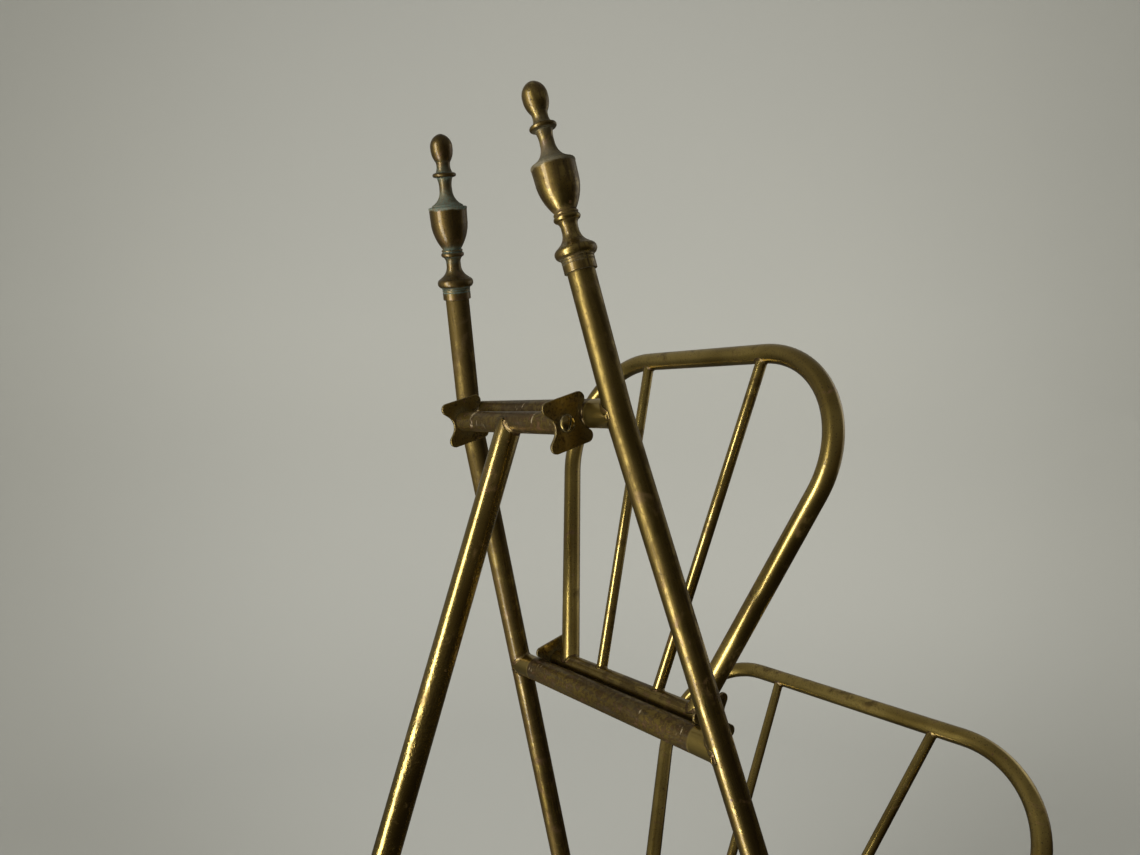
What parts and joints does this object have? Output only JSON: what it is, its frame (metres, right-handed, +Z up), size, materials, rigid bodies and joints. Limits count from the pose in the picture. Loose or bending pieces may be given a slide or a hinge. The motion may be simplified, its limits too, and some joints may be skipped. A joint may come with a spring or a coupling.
{
  "type": "magazine rack",
  "caption": "Folding brass magazine rack: leaning posts with urn finials, a hinged rear leg and hinged hoop fans that hold magazines.",
  "frame": {"origin": "on the floor, under the middle of the rack's overall box", "axes": "+X towards the right post, +Y to the front, where the fans open, +Z up"},
  "size_m": [0.3672, 0.583, 0.7986],
  "materials": {
    "tube_brass": "aged brass tube, dull gold with brown and olive patina, pits and scratches",
    "rod_brass": "aged brass rod, a little brighter than the tubes",
    "turned_brass": "aged turned brass, brown in the grooves with pale green tarnish in the necks",
    "plate_brass": "dark tarnished brass sheet, rubbed bright at its edges",
    "screw_brass": "worn brass screw head",
    "foot_rubber": "dark moulded rubber"
  },
  "bodies": {
    "front_frame": {"collar_left": "turned_brass", "collar_right": "turned_brass", "finial_left": "turned_brass", "finial_right": "turned_brass", "foot_left": "foot_rubber", "foot_right": "foot_rubber", "leg_plate_left": "plate_brass", "leg_plate_right": "plate_brass", "lower_crossbar": "tube_brass", "lower_fan_plate_left": "plate_brass", "lower_fan_plate_right": "plate_brass", "post_left": "tube_brass", "post_right": "tube_brass", "top_crossbar": "tube_brass", "upper_crossbar": "tube_brass", "upper_fan_plate_left": "plate_brass", "upper_fan_plate_right": "plate_brass"},
    "rear_leg": {"rear_leg": "tube_brass", "leg_hinge_tube": "tube_brass", "leg_hinge_plugs": "turned_brass", "leg_hinge_screws": "screw_brass", "foot_rear": "foot_rubber"},
    "upper_fan": {"upper_fan_hoop": "tube_brass", "upper_fan_base_tube": "tube_brass", "upper_fan_rod_left": "rod_brass", "upper_fan_rod_right": "rod_brass", "upper_fan_hinge_plugs": "turned_brass", "upper_fan_hinge_screws": "screw_brass"},
    "lower_fan": {"lower_fan_hoop": "tube_brass", "lower_fan_base_tube": "tube_brass", "lower_fan_rod_left": "rod_brass", "lower_fan_rod_right": "rod_brass", "lower_fan_hinge_plugs": "turned_brass", "lower_fan_hinge_screws": "screw_brass"}
  },
  "joints": [
    {"name": "leg_fold", "type": "hinge", "parent": "front_frame", "child": "rear_leg", "pos_m": [0, -0.07122, 0.61086], "axis": [1, 0, 0], "range_deg": [0, 34]},
    {"name": "upper_fan_fold", "type": "hinge", "parent": "front_frame", "child": "upper_fan", "pos_m": [0, 0.02403, 0.42686], "axis": [1, 0, 0], "range_deg": [0, 33]},
    {"name": "lower_fan_fold", "type": "hinge", "parent": "front_frame", "child": "lower_fan", "pos_m": [0, 0.11392, 0.12914], "axis": [1, 0, 0], "range_deg": [0, 48]}
  ]
}
